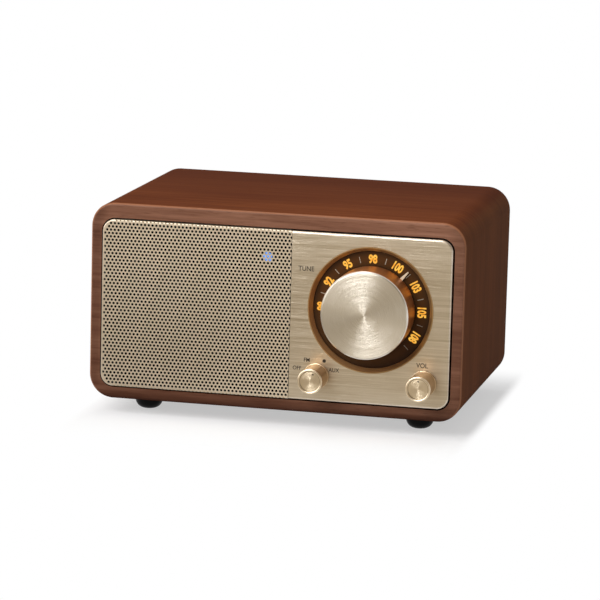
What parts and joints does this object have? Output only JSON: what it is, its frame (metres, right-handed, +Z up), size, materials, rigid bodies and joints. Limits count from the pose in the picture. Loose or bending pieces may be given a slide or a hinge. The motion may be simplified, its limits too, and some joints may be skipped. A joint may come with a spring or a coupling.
{
  "type": "tabletop radio",
  "caption": "Small tabletop radio in a rounded wooden case, with a perforated metal speaker grille, a lit round tuning dial with a large knob, and selector and volume knobs.",
  "frame": {"origin": "on the table, under the middle of the radio's bounding box, between the four feet", "axes": "+X to the right seen from the front, +Y from the front towards the rear cover, +Z up"},
  "size_m": [0.15, 0.1148, 0.0853],
  "materials": {
    "lacquered_wood": "satin lacquer over a fine straight grain",
    "raw_wood": "sawn, unfinished",
    "foot_rubber": "matt, slightly glossy dome",
    "plated_steel": "bright zinc plated",
    "chassis_plastic": "fine moulded texture",
    "grille_metal": "champagne anodised, satin",
    "black_cloth": "plain acoustic cloth",
    "panel_metal": "champagne anodised, brushed sideways",
    "bezel_metal": "bronze anodised, turned",
    "dial_plastic": "dark brown with translucent amber figures",
    "light_plastic": "translucent, lit from behind",
    "board_green": "solder mask",
    "knob_metal": "champagne anodised, spun faces and polished sides",
    "hub_plastic": "moulded",
    "pointer_metal": "satin",
    "control_metal": "nickel plated cans",
    "switch_plastic": "moulded",
    "basket_paint": "black stove enamel",
    "foam": "closed-cell foam",
    "cone_paper": "black pressed paper",
    "surround_rubber": "matt",
    "spider_cloth": "resin-dipped cloth",
    "copper": "enamelled wire and bare foil",
    "ferrite": "ground ferrite",
    "yoke_steel": "zinc plated",
    "lamp_plastic": "clear with a blue tint",
    "lamp_board": "white solder mask",
    "brass": "turned hexagon",
    "tinplate": "tinned sheet",
    "capacitor_sleeve": "shrink sleeve",
    "jack_plastic": "moulded",
    "battery_sleeve": "shrink sleeve",
    "cradle_plastic": "moulded",
    "cover_plastic": "fine moulded texture",
    "black_screws": "blackened steel",
    "ribbon": "grey insulation"
  },
  "bodies": {
    "cabinet_body": {"cabinet": "lacquered_wood", "corner_blocks": "raw_wood", "foot_front_left": "foot_rubber", "foot_front_right": "foot_rubber", "foot_rear_left": "foot_rubber", "foot_rear_right": "foot_rubber", "foot_studs": "plated_steel", "front_chassis": "chassis_plastic", "chassis_screws": "plated_steel", "speaker_grille": "grille_metal", "grille_cloth": "black_cloth", "control_panel": "panel_metal", "dial_bezel": "bezel_metal", "dial_plate": "dial_plastic", "dial_light_guide": "light_plastic", "dial_leds": "light_plastic", "dial_light_board": "board_green", "tuning_pot": "control_metal", "tuning_nut": "plated_steel", "selector_switch": "switch_plastic", "selector_nut": "plated_steel", "volume_pot": "control_metal", "volume_nut": "plated_steel", "control_board": "board_green", "control_board_screws": "plated_steel", "speaker_basket": "basket_paint", "speaker_gasket": "foam", "speaker_cone": "cone_paper", "speaker_surround": "surround_rubber", "dust_cap": "cone_paper", "speaker_spider": "spider_cloth", "voice_coil": "copper", "speaker_magnet": "ferrite", "speaker_yoke": "yoke_steel", "speaker_screws": "plated_steel", "status_light_pipe": "lamp_plastic", "status_led": "lamp_board", "main_board": "board_green", "board_standoffs": "brass", "main_board_screws": "plated_steel", "receiver_can": "tinplate", "capacitors": "capacitor_sleeve", "aux_jack": "jack_plastic", "usb_inlet": "tinplate", "battery_pack": "battery_sleeve", "battery_cradle": "cradle_plastic", "battery_strap": "plated_steel", "rear_cover": "cover_plastic", "rear_screws": "black_screws", "antenna_strip": "copper", "ribbon_cable": "ribbon"},
    "tuning": {"tuning_knob": "knob_metal", "tuning_hub": "hub_plastic", "tuning_pointer": "pointer_metal", "tuning_shaft": "plated_steel"},
    "selector": {"selector_knob": "knob_metal", "selector_shaft": "plated_steel"},
    "volume": {"volume_knob": "knob_metal", "volume_shaft": "plated_steel"}
  },
  "joints": [
    {"name": "tuning_turn", "type": "hinge", "parent": "cabinet_body", "child": "tuning", "pos_m": [0.03825, -0.0464, 0.04942], "axis": [0, 1, 0], "range_deg": [-147, 93]},
    {"name": "selector_turn", "type": "hinge", "parent": "cabinet_body", "child": "selector", "pos_m": [0.0175, -0.0464, 0.0221], "axis": [0, 1, 0], "range_deg": [-90, 45]},
    {"name": "volume_turn", "type": "hinge", "parent": "cabinet_body", "child": "volume", "pos_m": [0.0602, -0.0464, 0.0221], "axis": [0, 1, 0], "range_deg": [-150, 150]}
  ]
}
